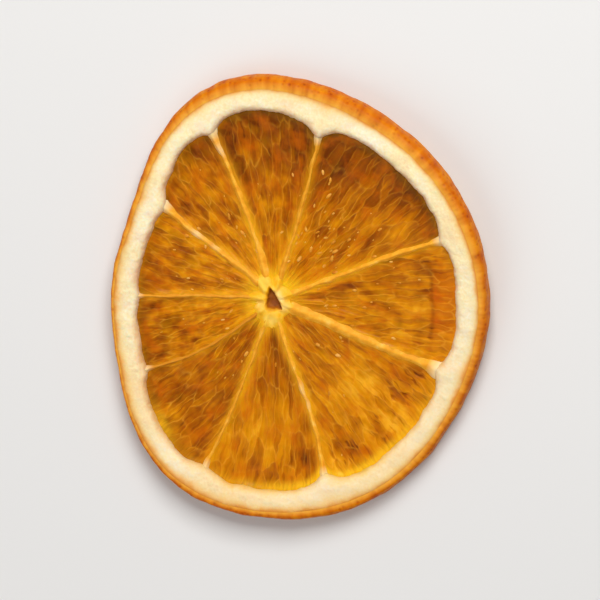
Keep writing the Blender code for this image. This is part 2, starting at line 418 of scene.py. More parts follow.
# The sponge tree puts coarse hollows and a finer grain on the smooth ring, calmer at the peel.
sponge, given, made = shape_tree("sponge", PITH_TEXTURE)
depth = 0.0
for name, detail in (("Hollow", 2.0), ("Grain", 1.0)):
    size, deep = given[f"{name} Size"], given[f"{name} Depth"]
    scale = add(sponge, "Math", {0: 1.0, 1: size}, operation="DIVIDE")
    relief = add(sponge, "TexNoise", {"Scale": scale, "Detail": detail})
    relief = add(sponge, "Math", {0: relief, 1: 0.5}, operation="SUBTRACT")
    depth = add(sponge, "Math", {0: relief, 1: deep, 2: depth}, operation="MULTIPLY_ADD")
at_peel = add(sponge, "GeometryNodeInputNamedAttribute", {"Name": "rind"}, data_type="FLOAT")
inside = add(sponge, "Math", {0: 1.0, 1: at_peel}, operation="SUBTRACT")
inside = add(sponge, "Math", {0: inside, 1: 0.5}, operation="POWER", use_clamp=True)
depth = add(sponge, "Math", {0: depth, 1: inside}, operation="MULTIPLY")
raise_skin(sponge, given, made, depth, pith_finish)

# Across the pith, from 0 at the pulp to 1 at the peel, with most rows on the steep inner wall.
# The last row is out of sight under the peel.
wall_rows = np.linspace(0.0, 1.0, WALL_ROWS) ** 2 / 2
top_rows = np.linspace(TOP_START, 1.0, TOP_ROWS)
across = np.array([*wall_rows, *top_rows, 1.0 + SEAM_OVERLAP / PITH_WIDTH])[:, None]
rounding = np.sqrt(1.0 - ramp(across, 0.5, 0.0) ** PITH_WALL_ROUNDING)
wall = PITH_FOOT_HEIGHT + (PITH_HEIGHT - PITH_FOOT_HEIGHT) * rounding
fall = (PITH_HEIGHT - PITH_OUTER_HEIGHT) * ramp(across, 0.5, 1.0) ** 2 + SEAM_DIP * (across > 1.0)
faces = []
for side in (1, -1):
    inner_edge = polar(around, pulp_edge(around))
    nibbled = NIBBLE * lumps(*inner_edge, PITH_PATTERN * side, NIBBLE_SIZE)
    radius = pulp_edge(around) + across * (pith_edge(around) - pulp_edge(around))
    radius = radius + nibbled * ramp(across, 0.5, 0.0)
    bumps = ramp(across, 0.0, PITH_BUMPS_FULL) * pith_bumps(around, radius, side)
    faces.append(settled(around, radius, on_side(wall - fall + bumps, side)))
# The stain is painted stronger and brighter where the wall faces the main light.
facing_light = np.clip(np.cos(turned(around, LIT_WALL_ANGLE)), 0.0, 1.0) ** LIT_WALL_SPREAD
stained = STAIN_ELSEWHERE + (1.0 - STAIN_ELSEWHERE) * facing_light
stained = stained * ramp(wall, STAIN_HEIGHT, PITH_FOOT_HEIGHT) ** STAIN_POWER
rinded = waves(RIND_POWER_MEAN, RIND_POWER_WAVES, around)
rinded = ramp(across, 1.0 - RIND_ZONE, 1.0) ** rinded
marks = {"stain": stained, "stain_painted_light": np.broadcast_to(facing_light, stained.shape), "rind": rinded}
pith = tube(
    "pith",
    np.concatenate([faces[0][::-1], faces[1]]),
    {name: np.concatenate([values[::-1], values]) for name, values in marks.items()},
    joined=True,
)
grow(pith, sponge, PITH_TEXTURE)
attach(pith, "root")
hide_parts("orange_slice")


# The peel
# The thin outer skin, waxy, leathery and pitted over its oil glands. It shows as a narrow band
# on both faces and as the whole side of the slice, and it grew together with the pith.

PEEL_CORNER = 0.5
PEEL_SHOULDER = 0.9
PEEL_ROWS = 46
PEEL_BACK_SHARE = 0.8  # of its height, for the places on its back between the two seams
DENT_PATTERNS = (2.0, 0.0, -2.0)  # of the dents at the top, middle and foot of its side
DENT_REACH = 1.45
CUT_WIDTH_MEAN = 0.85  # of the paler cut face of the skin
CUT_WIDTH_WAVES = ((1, 0.35, PALE_RIND_ANGLE),)
RIB_WIDTH = 1.1  # of the lighter and darker ribs that the drying left across the skin
RIB_SQUEEZE = 0.2  # so they are longer than wide
GLAND_SPACING = 0.75
GLAND_RADIUS = 0.45  # as a share of their spacing
PEEL_CLOUD_SIZE = 1.92
PEEL_GRIT_SIZE = 0.286
PEEL_TEXTURE = {
    "Gland Spacing": GLAND_SPACING, "Gland Depth": 0.07, "Wrinkle Width": 1.7,
    "Wrinkle Length": 6.0, "Wrinkle Depth": 0.22,
}

# Flavedo is a tight skin full of oil under a thin wax, so it keeps a soft shine. The pits over its
# glands are painted darker than the ridges between them, partly the oil's colour and partly painted
# shade in the hollows.
peel_finish, tree, shader = new_finish(
    "dried_flavedo",
    {
        "IOR": 1.45,
        "Specular IOR Level": 0.08,
        "Subsurface Weight": 0.25,
        "Subsurface Radius": (1.0, 0.35, 0.05),
        "Subsurface Scale": 0.5 * MM,
        "Coat Weight": 0.04,
        "Coat Roughness": 0.35,
    },
)
place = add(tree, "TexCoord", out="Object")
pit = add(tree, "TexVoronoi", {"Vector": place, "Scale": 1 / (GLAND_SPACING * MM)})
pit = add(
    tree, "MapRange", {0: pit, 1: 0.0, 2: GLAND_RADIUS, 3: 0.0, 4: 1.0},
    interpolation_type="SMOOTHSTEP",
)
cloud, grit = (
    add(tree, "TexNoise", {"Vector": place, "Scale": 1 / (size * MM), "Detail": detail})
    for size, detail in ((PEEL_CLOUD_SIZE, 6.0), (PEEL_GRIT_SIZE, 3.0))
)
ribs = add(tree, "Attribute", out="Vector", attribute_name="rib_place")
ribs = add(tree, "TexNoise", {"Vector": ribs, "Scale": 1 / RIB_WIDTH, "Detail": 2.0})
light = -0.14
# The pits darken the skin, partly as the glands' own colour and partly as painted shade in the
# hollows.
for pattern, strength in ((pit, 0.16), (cloud, 0.5), (ribs, 0.6)):
    light = add(tree, "Math", {0: pattern, 1: strength, 2: light}, operation="MULTIPLY_ADD")
skin = add(
    tree, "ValToRGB", {0: light},
    stops=((0.3, "#A43E00"), (0.45, "#C65E00"), (0.6, "#D87600"), (0.8, "#EA960E")),
)
cut = add(tree, "Attribute", out="Fac", attribute_name="cut")
uneven = add(tree, "MapRange", {0: ribs, 1: 0.3, 2: 0.7, 3: 0.6, 4: 1.3})
cut = add(tree, "Math", {0: cut, 1: uneven}, operation="MULTIPLY", use_clamp=True)
skin = add(tree, "Mix", {0: cut, 6: skin, 7: colour("#F0A83C")}, 2, data_type="RGBA")
gloss = add(tree, "MapRange", {0: cloud, 1: 0.3, 2: 0.7, 3: 0.42, 4: 0.62})
bump = add(tree, "Bump", {"Height": grit, "Distance": 0.06 * MM, "Strength": 0.5})
bump = add(tree, "Bump", {"Height": pit, "Distance": 0.05 * MM, "Strength": 0.7, "Normal": bump})
paint(shader, {"Base Color": skin, "Roughness": gloss, "Normal": bump})

# The glands tree sinks a pit over each oil gland and leaves the skin between them raised. The
# drying fruit also drew the skin into wrinkles, which run across its side.
pores, given, made = shape_tree("glands", PEEL_TEXTURE)
scale = add(pores, "Math", {0: 1.0, 1: given["Gland Spacing"]}, operation="DIVIDE")
sunk = add(pores, "TexVoronoi", {"Scale": scale})
sunk = add(
    pores, "MapRange", {0: sunk, 1: 0.0, 2: GLAND_RADIUS, 3: -1.0, 4: 0.0},
    interpolation_type="SMOOTHSTEP",
)
sunk = add(pores, "Math", {0: sunk, 1: given["Gland Depth"]}, operation="MULTIPLY")
narrow = add(
    pores, "CombineXYZ",
    {0: given["Wrinkle Width"], 1: given["Wrinkle Width"], 2: given["Wrinkle Length"]},
)
where = add(pores, "GeometryNodeInputPosition")
where = add(pores, "VectorMath", {0: where, 1: narrow}, operation="DIVIDE")
wrinkle = add(pores, "TexNoise", {"Vector": where, "Scale": 1.0, "Detail": 2.0})
wrinkle = add(pores, "Math", {0: wrinkle, 1: 0.55}, operation="SUBTRACT")
sunk = add(
    pores, "Math", {0: wrinkle, 1: given["Wrinkle Depth"], 2: sunk}, operation="MULTIPLY_ADD"
)
at_cut = add(pores, "GeometryNodeInputNamedAttribute", {"Name": "cut"}, data_type="FLOAT")
away = add(pores, "Math", {0: 1.0, 1: at_cut}, operation="SUBTRACT", use_clamp=True)
sunk = add(pores, "Math", {0: sunk, 1: away}, operation="MULTIPLY")
raise_skin(pores, given, made, sunk, peel_finish)

# Round the skin's profile, from the upper face over the side to the under face, and back
# behind the pith.
turn = np.linspace(0.0, math.pi, PEEL_ROWS)[:, None]
out = np.abs(np.sin(turn)) ** PEEL_CORNER
up = np.sign(np.cos(turn)) * PITH_OUTER_HEIGHT * np.abs(np.cos(turn)) ** PEEL_SHOULDER
up = np.where(up < 0, UNDERSIDE_SHARE * up, up)
level = np.abs(up) / PITH_OUTER_HEIGHT
shares = (ramp(up, 0.0, DENT_REACH), ramp(np.abs(up), DENT_REACH, 0.0), ramp(-up, 0.0, DENT_REACH))
dent = sum(share * peel_dent(around, at) for share, at in zip(shares, DENT_PATTERNS)) * out**3
from_pith = out * peel_width(around)
bumps = [side * pith_bumps(around, pith_edge(around), side) for side in (1, -1)]
flush = np.where(up > 0, *bumps) * level**2
skin_side = settled(around, pith_edge(around) + from_pith + dent, up + flush)
under_pith = [
    settled(around, pith_edge(around) - SEAM_OVERLAP, height)
    for height in (
        up[-1] + flush[-1] + SEAM_DIP,
        PEEL_BACK_SHARE * up[-1],
        PEEL_BACK_SHARE * up[0],
        up[0] + flush[0] - SEAM_DIP,
    )
]
at_cut = ramp(from_pith, waves(CUT_WIDTH_MEAN, CUT_WIDTH_WAVES, around), 0.0)
at_cut = at_cut * ramp(level, 0.5, 1.0)
rib_height = np.concatenate([RIB_SQUEEZE * up, np.zeros((len(under_pith), 1))])
rib_place = np.broadcast_arrays(*polar(around, pith_edge(around)), rib_height)
peel = tube(
    "peel",
    np.concatenate([skin_side, under_pith]),
    {
        "cut": np.concatenate([at_cut, np.ones((len(under_pith), RIM_COLUMNS))]),
        "rib_place": np.stack(rib_place, axis=-1),
    },
    joined=True,
)
grow(peel, pores, PEEL_TEXTURE)
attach(peel, "root")
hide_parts("orange_slice")


# The core
# The middle of the orange, where the pith and all the membranes meet. It dries to a bright
# knot with a ray along each membrane, round a small sunken pit whose floor is painted dark
# brown as shade in the hollow.

PIT_SIDES = ((170.7, 0.85), (-90.0, 1.35), (30.5, 0.62))  # angle and distance of its three sides
PIT_CORNER = 3.2
PIT_UNEVENNESS = (0.16, 3.0, 0.5)  # how much, which pattern and how large
PIT_PROFILE = ((0.02, 0.3), (0.7, 0.42), (0.88, 0.75), (1.0, 1.18))
KNOT_PROFILE = ((0.0, 1.18), (0.1, 1.36), (0.3, 1.24), (0.6, 0.95), (0.85, 0.7), (1.0, 0.4))
PIT_ROWS = 12
KNOT_ROWS = 22
KNOT_RADIUS = 3.1
KNOT_UNEVENNESS = (0.5, 4.0, 0.8)
KNOT_LUMP_SIZE = 1.0
RAY_LENGTH = 1.8
RAY_RISE = 0.12
RAY_SKEW = 0.7  # below 1, so the rays stand highest near the pit
RAY_WIDTH = 11.0
LOBE_ANGLE = -97.0  # where two membranes run together before they reach the core
LOBE_HALF_WIDTH = 16.0
LOBE_LENGTH = 1.0
# The pit is painted dark as shade in the hollow, and this lifts only near its rim.
PIT_SHADE_WARMTH = 0.08
PIT_RIM_WARMTH = 0.35
PIT_PALENESS = 0.4
KNOT_WARMTH = ((0.0, 0.3), (0.08, 0.65), (0.15, 0.85), (0.5, 0.74), (1.0, 0.64))
DULLER_BETWEEN = 0.12  # between the rays
PALE_SPOTS = (  # x, y, radius and strength of the places where dry white pith shows
    (0.6, 0.9, 0.5, 0.9),
    (1.0, 0.1, 0.5, 1.1),
    (1.5, -0.9, 0.6, 0.8),
    (-0.4, -2.9, 0.7, 0.25),
    (-1.9, -0.8, 0.6, 0.5),
)
BRIGHT_SPOTS = ((-1.5, 2.5, 0.9, 0.3), (-0.4, -3.0, 0.9, 0.3))  # and of clear yellow juice
CORE_COLUMNS = 240
CORE_CLOUD_SIZE = 0.909

# The knot is pith soaked in dried juice, so it is yellow, waxy and a little see-through.
core_finish, tree, shader = new_finish(
    "dried_core",
    {
        "Roughness": 0.6,
        "IOR": 1.45,
        "Specular IOR Level": 0.25,
        "Subsurface Weight": 0.25,
        "Subsurface Radius": (1.0, 0.6, 0.2),
        "Subsurface Scale": 0.3 * MM,
    },
)
place = add(tree, "TexCoord", out="Object")
warmth_and_pit_shade, pale = (
    add(tree, "Attribute", out="Fac", attribute_name=name)
    for name in ("warmth_and_pit_shade", "pale")
)
cloud = add(tree, "TexNoise", {"Vector": place, "Scale": 1 / (CORE_CLOUD_SIZE * MM), "Detail": 4.0})
# In the pit this tone is taken dark as painted shade.
lit = add(tree, "Math", {0: cloud, 1: 0.5}, operation="SUBTRACT")
lit = add(tree, "Math", {0: lit, 1: 0.6, 2: warmth_and_pit_shade}, operation="MULTIPLY_ADD")
knot = add(
    tree, "ValToRGB", {0: lit},
    stops=(
        (0.05, "#8A4608"), (0.28, "#B86A08"), (0.45, "#DC9408"), (0.7, "#FAB818"),
        (0.95, "#FFCC48"),
    ),
)
paler = add(tree, "Math", {0: cloud, 1: 0.3}, operation="ADD")
paler = add(tree, "Math", {0: paler, 1: pale}, operation="MULTIPLY", use_clamp=True)
knot = add(tree, "Mix", {0: paler, 6: knot, 7: colour("#FFDC8A")}, 2, data_type="RGBA")
bump = add(tree, "Bump", {"Height": cloud, "Distance": 0.14 * MM, "Strength": 0.5})
paint(shader, {"Base Color": knot, "Normal": bump})


def uneven_edge(angle, radius, unevenness):
    """That edge, made uneven by so much, in a pattern of some size."""
    amount, pattern, size = unevenness
    return radius + amount * lumps(*polar(angle, radius), pattern, size)


def spots(x, y, table):
    """Soft round spots, each with its x, y, radius and strength, laid over each other."""
    return sum(
        strength * fading(np.hypot(x - at_x, y - at_y), size)
        for at_x, at_y, size, strength in table
    )


about = np.linspace(-math.pi, math.pi, CORE_COLUMNS, endpoint=False)
rays = sum(
    fading(np.degrees(turned(about, at_pith + swing)), RAY_WIDTH)
    for at_pith, _, swing, _ in MEMBRANES
)
rays = np.clip(rays, 0.0, 1.0)
pit = sum(
    np.clip(np.cos(turned(about, facing)) / distance, 0.0, None) ** PIT_CORNER
    for facing, distance in PIT_SIDES
) ** (-1 / PIT_CORNER)
pit = uneven_edge(about, pit, PIT_UNEVENNESS)
lobe = fading(np.degrees(turned(about, LOBE_ANGLE)), LOBE_HALF_WIDTH)
rim = uneven_edge(about, KNOT_RADIUS + RAY_LENGTH * rays + LOBE_LENGTH * lobe, KNOT_UNEVENNESS)
pit_share = np.linspace(PIT_PROFILE[0][0], 1.0, PIT_ROWS)[:, None]
knot_share = np.linspace(0.0, 1.0, KNOT_ROWS)[1:, None]
in_knot = np.concatenate([np.zeros_like(pit_share), knot_share])
spread = np.concatenate([pit * pit_share, pit + (rim - pit) * knot_share])
# The pit's floor takes the dark painted shade, which lifts towards its rim.
level, warmth_and_pit_shade = (
    np.concatenate([in_pit, np.interp(knot_share, *np.transpose(profile))])
    for in_pit, profile in (
        (np.interp(pit_share, *np.transpose(PIT_PROFILE)), KNOT_PROFILE),
        (PIT_SHADE_WARMTH + PIT_RIM_WARMTH * pit_share**8, KNOT_WARMTH),
    )
)
x, y = polar(about, spread)
warmth_and_pit_shade = warmth_and_pit_shade - DULLER_BETWEEN * in_knot**2 * (1.0 - rays) + spots(x, y, BRIGHT_SPOTS)
pale = np.concatenate([PIT_PALENESS * pit_share**4, np.ones_like(knot_share)])
pale = pale * spots(x, y, PALE_SPOTS)
ray_rise = RAY_RISE * np.sin(math.pi * in_knot**RAY_SKEW) ** 2 * (2.0 * rays - 1.0)
sides = []
for side in (1, -1):
    bumps = PITH_RELIEF * lumps(x, y, PITH_PATTERN * side, KNOT_LUMP_SIZE)
    height = level + ray_rise + bumps
    sides.append(settled(about, spread, on_side(height, side)))
core = tube(
    "core",
    np.concatenate([sides[0], sides[1][::-1]]),
    {
        "warmth_and_pit_shade": np.concatenate([warmth_and_pit_shade, warmth_and_pit_shade[::-1]]),
        "pale": np.concatenate([pale, pale[::-1]]),
    },
)
core.data.materials.append(core_finish)
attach(core, "root")
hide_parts("orange_slice")


# The pulp
# Nine segments of juice sacs, which dried to glassy amber sheets between the membranes. The
# sacs point to the core. Each was cut open and sank, so its skin stands round it as a thin
# pale line.

PULP_HEIGHT = 0.78
PULP_SAG = 0.22
PULP_RELIEF = 0.28
PULP_FOLD_WIDTH = 4.0  # against the pith, and narrower inwards
PULP_FOLD_LENGTH = 5.0
PULP_SMOOTH_RADIUS = 12.0  # inside this the folds fade towards the core
PULP_PATTERN = 7.0
PULP_CLIMB = 0.2  # how far the pulp draws up against the pith
PULP_CLIMB_WIDTH = 0.5
CORE_RADIUS = 2.3
CORE_STAIN_END = 5.5
CORE_STAIN_POWER = 1.4
MEMBRANE_RISE = 0.4
MEMBRANE_HALF_WIDTH = 0.75
SKIN_CLIMB_SHARE = 0.8  # how far the pulp climbs up each membrane
SKIN_CLIMB_POWER = 1.2
SEGMENT_LENGTH = 23.0  # about, from the core to the pith
PULP_PITCH = 0.18  # between places of the mesh along a segment, and across it
PULP_PITCH_ACROSS = 0.24
PULP_ENDS = (1.008, 1.016, 1.025)  # last rows, which run on into the pith
SEGMENT_SHIFT = 40.0  # from one segment to the next, and to the other face, in the pattern
FACE_SHIFT = 500.0
SAC_SIZE = (1.35, 4.0, 1.0)  # across and along the segment, as the next ones are
STREAK_SIZE = (0.4, 2.6, 1.0)
SLIT_SIZE = (0.6, 3.0, 1.0)
MOTTLE_SIZE = (1.9, 4.2, 1.0)
SAC_WARP = (1.2, 3.0, 0.0)  # how far the pattern wanders, over what size
SAC_WARP_SIZE = 2.5
SPECKLE_SIZE = 2.0
HUE_PATCH_SIZE = 2.857
SLIT_START = 0.6  # shares of the way from the core to the pith where sacs come apart
SLIT_FULL = 0.85
GLOW_WIDTH = 0.68  # of the golden light beside each membrane
GLOW_STRENGTH = 0.85
GLOW_REACH = 1.3
GLOW_AT_PITH = 0.45
GLOW_ON_CLIMB = 0.2
GLOW_END = 0.96  # share of the way out where it starts to fade
TOAST_POWER = 1.5  # how late on the way out a segment takes its outer tone
# A dark band on the pulp just inside the pith: partly toast and partly painted shadow of the raised
# pith. It is strongest in the segments that are darkest near the pith.
RIM_TOAST_AND_SHADOW_WIDTH = 1.0
RIM_TOAST_AND_SHADOW = 0.5
CALM_AT_SKIN = 0.8  # how far the relief of the sacs fades there
CALM_ON_CLIMB = 0.3
CALM_AT_CORE = 0.6
PULP_TEXTURE = {"Skin Rise": 0.07, "Sac Step": 0.05, "Streak Rise": 0.02, "Slit Depth": 0.16}
# How dark each segment dried near the core and near the pith, where the value is partly
# painted shade, darkest on the segments at the top of the slice, how mottled it is, how golden it
# is round the core, how many loose tips of sacs it has, and how far its sacs came apart near
# the pith, anticlockwise from the first wall.
SEGMENTS = (
    (0.5, 0.6, 0.6, 1.2, 14, 0.4),
    (0.4, 0.25, 0.3, 0.9, 8, 0.5),
    (0.3, 0.1, 0.5, 0.2, 24, 1.0),
    (0.2, 0.15, 0.7, 0.5, 36, 0.7),
    (0.1, 1.0, 0.4, 1.3, 96, 0.3),
    (0.1, 1.1, 0.8, 1.4, 12, 0.4),
    (0.0, 0.65, 0.8, 1.4, 30, 0.3),
    (0.05, 0.45, 0.9, 0.9, 30, 0.4),
    (-0.05, 0.75, 1.1, 0.9, 16, 0.4),
)
PATCHES = (  # angle, radius, half width and how dark, of patches painted darker or lighter
    (-45.0, 16.5, 4.5, -0.4),
    (-31.0, 20.5, 2.4, 0.35),
    (-65.0, 22.5, 1.8, 0.3),
    (-91.0, 19.5, 3.0, -0.35),
    (-88.0, 9.5, 3.0, 0.25),
    (-88.0, 23.5, 2.2, 0.35),
    (66.0, 20.5, 3.0, 0.35),
    (30.0, 20.5, 2.5, -0.5),
    (0.0, 6.5, 2.5, 0.12),
    (-93.0, 6.0, 1.8, 0.2),
    (-130.0, 21.8, 1.4, -0.8),
    (-44.0, 24.2, 1.8, -0.7),
    (-69.0, 24.2, 1.2, -0.9),
    (15.0, 21.5, 2.6, 0.4),
    (12.0, 14.0, 2.5, 0.15),
    (17.0, 15.5, 2.2, 0.35),
    (16.0, 9.5, 1.8, 0.3),
    (115.0, 22.0, 2.2, 0.4),
    (118.0, 13.0, 2.0, 0.3),
    (174.0, 17.5, 1.8, 0.3),
    (-26.5, 22.0, 1.6, 0.35),
    (-78.0, 22.5, 1.5, 0.35),
    (-150.0, 17.5, 2.0, -0.35),
    (-112.0, 22.5, 2.2, -0.35),
)
GILT = (0.3, 0.8, 1.0, 1.0, 1.0, 0.75, 0.95, 0.9, 0.6)  # how golden each membrane is
LIT_EDGES = (  # middle, half length in degrees, width and strength of painted light on the pulp along the pith, where its wall faces the main light
    (-70.0, 30.0, 0.95, 1.0),
    (-131.0, 6.0, 1.3, 0.65),
)
RED_BAND = (0.0, 13.0, 3.2)  # middle, half length in degrees and width of redder pulp there
RED_BAND_STRENGTH = 0.6
BAND_LINE_DARKNESS = 0.6  # of the line along the inner side of that band
BAND_LINE_WIDTH = 0.4
FLANK_DISTANCE = 1.3  # of a darker flank from the membrane on its clockwise side
FLANK_WIDTH = 0.6
FLANK_DARKNESS = 0.18
TIP_SEED = 11
TIP_RANGE = (0.14, 0.3, 0.9)  # nearest, most common and furthest share of the way from the core
TIP_SPREAD = 0.9  # share of the segment's width that has tips
TIP_SINK = 0.08  # how deep they sit in the pulp


def sac_pattern(tree, place):
    """Closeness to a sac's skin, the sac's own tone, fine streaks, and slits between sacs, at a
    place given in mm across and along the segment."""
    warp = add(tree, "TexNoise", {"Vector": place, "Scale": 1 / SAC_WARP_SIZE, "Detail": 2.0}, 1)
    warp = add(tree, "VectorMath", {0: warp, 1: (0.5, 0.5, 0.5)}, operation="SUBTRACT")
    warped = add(tree, "VectorMath", {0: warp, 1: SAC_WARP, 2: place}, operation="MULTIPLY_ADD")
    cell, fibre, gap = (
        add(tree, "VectorMath", {0: warped, 1: size}, operation="DIVIDE")
        for size in (SAC_SIZE, STREAK_SIZE, SLIT_SIZE)
    )
    edge = add(
        tree, "TexVoronoi", {"Vector": cell, "Scale": 1.0},
        feature="DISTANCE_TO_EDGE", voronoi_dimensions="2D",
    )
    tone = add(tree, "TexVoronoi", {"Vector": cell, "Scale": 1.0}, 1, voronoi_dimensions="2D")
    tone = add(tree, "SeparateXYZ", {0: tone})
    streak = add(tree, "TexNoise", {"Vector": fibre, "Scale": 1.0, "Detail": 3.0})
    slit = add(tree, "TexNoise", {"Vector": gap, "Scale": 1.0, "Detail": 1.0})
    slit = add(
        tree, "MapRange", {0: slit, 1: 0.56, 2: 0.66, 3: 0.0, 4: 1.0},
        interpolation_type="SMOOTHSTEP",
    )
    return edge, tone, streak, slit


# Dried juice is a hard sugar glass: amber, glossy where it is smooth, and lit from inside where
# it is thin. It is painted darkest at the top of the slice and just inside the pith there,
# partly as toast and partly as painted shade from the raised pith.
pulp_finish, tree, shader = new_finish(
    "dried_juice_sacs",
    {
        "IOR": 1.45,
        "Specular IOR Level": 0.07,
        "Subsurface Weight": 0.4,
        "Subsurface Radius": (1.0, 0.38, 0.04),
        "Subsurface Scale": 0.6 * MM,
        "Coat Weight": 0.03,
        "Coat Roughness": 0.2,
    },
)
place = add(tree, "Attribute", out="Vector", attribute_name="sac_place")
toast_and_shade, mottled, glowing, golden_core_and_lit_edge, opened, redder = (
    add(tree, "Attribute", out="Fac", attribute_name=name)
    for name in ("toast_and_shade", "mottled", "glow", "golden_core_and_lit_edge", "opened", "redder")
)
edge, tone, streak, slit = sac_pattern(tree, place)
slit = add(tree, "Math", {0: slit, 1: opened}, operation="MULTIPLY")
patch = add(tree, "VectorMath", {0: place, 1: MOTTLE_SIZE}, operation="DIVIDE")
band = add(tree, "TexNoise", {"Vector": patch, "Scale": 1.0, "Detail": 1.0})
band = add(tree, "Math", {0: band, 1: 0.5}, operation="SUBTRACT")
mottle = add(tree, "TexNoise", {"Vector": place, "Scale": 1 / SPECKLE_SIZE, "Detail": 2.0})
mottle = add(tree, "Math", {0: mottle, 1: 0.5}, operation="SUBTRACT")
mottle = add(tree, "Math", {0: mottle, 1: mottled}, operation="MULTIPLY")
varied = -0.27
for pattern, strength in ((tone, 0.18), (streak, 0.34), (band, 0.5), (mottle, 0.8)):
    varied = add(tree, "Math", {0: pattern, 1: strength, 2: varied}, operation="MULTIPLY_ADD")
# The pulp is darkened by its toast and by painted shade below the raised pith.
clear = add(tree, "MapRange", {0: toast_and_shade, 1: 0.4, 2: 1.1, 3: 1.0, 4: 0.45})
light = 0.69
for pattern, strength in ((varied, clear), (slit, -0.2), (toast_and_shade, -0.38)):
    light = add(tree, "Math", {0: pattern, 1: strength, 2: light}, operation="MULTIPLY_ADD")
amber = add(
    tree, "ValToRGB", {0: light},
    stops=(
        (0.2, "#6A2E00"), (0.4, "#A05200"), (0.56, "#C47400"), (0.72, "#DC8C02"),
        (0.92, "#F2AC20"),
    ),
)
# Some patches dried olive and others red, and the skins of some sacs show as thin lines.
hue = add(tree, "TexNoise", {"Vector": place, "Scale": 1 / HUE_PATCH_SIZE, "Detail": 3.0})
olive = add(tree, "MapRange", {0: hue, 1: 0.52, 2: 0.7, 3: 0.0, 4: 0.5})
olive = add(tree, "Math", {0: olive, 1: mottled}, operation="MULTIPLY")
red = add(tree, "MapRange", {0: hue, 1: 0.48, 2: 0.3, 3: 0.0, 4: 0.55})
red = add(tree, "Math", {0: red, 1: redder}, operation="ADD", use_clamp=True)
line = add(tree, "MapRange", {0: edge, 1: 0.01, 2: 0.09, 3: 1.0, 4: 0.0})
whole = add(tree, "MapRange", {0: hue, 1: 0.4, 2: 0.6, 3: 0.3, 4: 1.2})
line = add(tree, "Math", {0: line, 1: streak}, operation="MULTIPLY")
line = add(tree, "Math", {0: line, 1: whole}, operation="MULTIPLY", use_clamp=True)
thin = add(tree, "Math", {0: clear, 1: 0.6}, operation="MULTIPLY")
thin = add(tree, "Math", {0: line, 1: thin}, operation="MULTIPLY")
# Golden juice round the core, and painted light on the pulp along the lower pith where its wall is
# lit.
uneven = add(tree, "MapRange", {0: streak, 1: 0.35, 2: 0.65, 3: 0.65, 4: 1.15})
golden_core_and_lit_edge = add(tree, "Math", {0: golden_core_and_lit_edge, 1: uneven}, operation="MULTIPLY", use_clamp=True)
for mask, code in (
    (olive, "#A06A00"), (red, "#C86000"), (thin, "#EEA52C"), (golden_core_and_lit_edge, "#F4BE1C"),
    (glowing, "#FBB41C"),
):
    amber = add(tree, "Mix", {0: mask, 6: amber, 7: colour(code)}, 2, data_type="RGBA")
gloss = add(tree, "MapRange", {0: streak, 1: 0.3, 2: 0.7, 3: 0.3, 4: 0.55})
bump = add(tree, "Bump", {"Height": streak, "Distance": 0.06 * MM, "Strength": 0.4})
bump = add(tree, "Bump", {"Height": line, "Distance": 0.05 * MM, "Strength": 0.5, "Normal": bump})
paint(shader, {"Base Color": amber, "Roughness": gloss, "Normal": bump})

# The sacs tree raises the sacs' skins, sets each sac a little higher or lower than the next,
# and draws fine streaks. It fades out against the membranes and the pith.
sacs, given, made = shape_tree("sacs", PULP_TEXTURE)
place = add(
    sacs, "GeometryNodeInputNamedAttribute", {"Name": "sac_place"}, data_type="FLOAT_VECTOR"
)
calm, opened = (
    add(sacs, "GeometryNodeInputNamedAttribute", {"Name": name}, data_type="FLOAT")
    for name in ("calm", "opened")
)
edge, tone, streak, slit = sac_pattern(sacs, place)
cup = add(
    sacs, "MapRange", {0: edge, 1: 0.0, 2: 0.36, 3: 1.0, 4: 0.0}, interpolation_type="SMOOTHSTEP"
)
tone = add(sacs, "Math", {0: tone, 1: 0.5}, operation="SUBTRACT")
streak = add(sacs, "Math", {0: streak, 1: 0.5}, operation="SUBTRACT")
streak = add(sacs, "Math", {0: streak, 1: 2.0}, operation="MULTIPLY")
slit = add(sacs, "Math", {0: slit, 1: opened}, operation="MULTIPLY")
slit = add(sacs, "Math", {0: slit, 1: -1.0}, operation="MULTIPLY")
rise = 0.0
for pattern, size in (
    (cup, "Skin Rise"), (tone, "Sac Step"), (streak, "Streak Rise"), (slit, "Slit Depth")
):
    rise = add(sacs, "Math", {0: pattern, 1: given[size], 2: rise}, operation="MULTIPLY_ADD")
fade = add(sacs, "Math", {0: 1.0, 1: calm}, operation="SUBTRACT", use_clamp=True)
rise = add(sacs, "Math", {0: rise, 1: fade}, operation="MULTIPLY")
raise_skin(sacs, given, made, rise, pulp_finish)


def membrane_angle(index, outwards):
    """Angle of a membrane, from 0 at the core to 1 at the pith."""
    at_pith, _, swing, bow = MEMBRANES[index % len(MEMBRANES)]
    turns = index // len(MEMBRANES)
    outwards = np.clip(outwards, 0.0, 1.0)
    bent_by = swing * (1.0 - outwards) ** 2 + bow * np.sin(math.pi * outwards)
    return np.radians(at_pith + 360.0 * turns + bent_by)


def pulp_level(outwards):
    """Height of the bare pulp, which sags between the pith and the core."""
    return PULP_HEIGHT - PULP_SAG * np.sin(math.pi * np.clip(outwards, 0.0, 1.0))


def pulp_place(index, along, share):
    """A place in a segment, at a share of the way out and of the way across: its angle and
    radius, how far it is from the nearest wall, and from 0 to 1 how far it climbs up to it."""
    start, end = membrane_angle(index, along), membrane_angle(index + 1, along)
    angle = start + (end - start) * share
    radius = CORE_RADIUS + along * (pulp_edge(angle) - CORE_RADIUS)
    aside = np.minimum(share, 1.0 - share) * (end - start) * radius
    return angle, radius, aside, ramp(aside, MEMBRANE_HALF_WIDTH, 0.0) ** SKIN_CLIMB_POWER


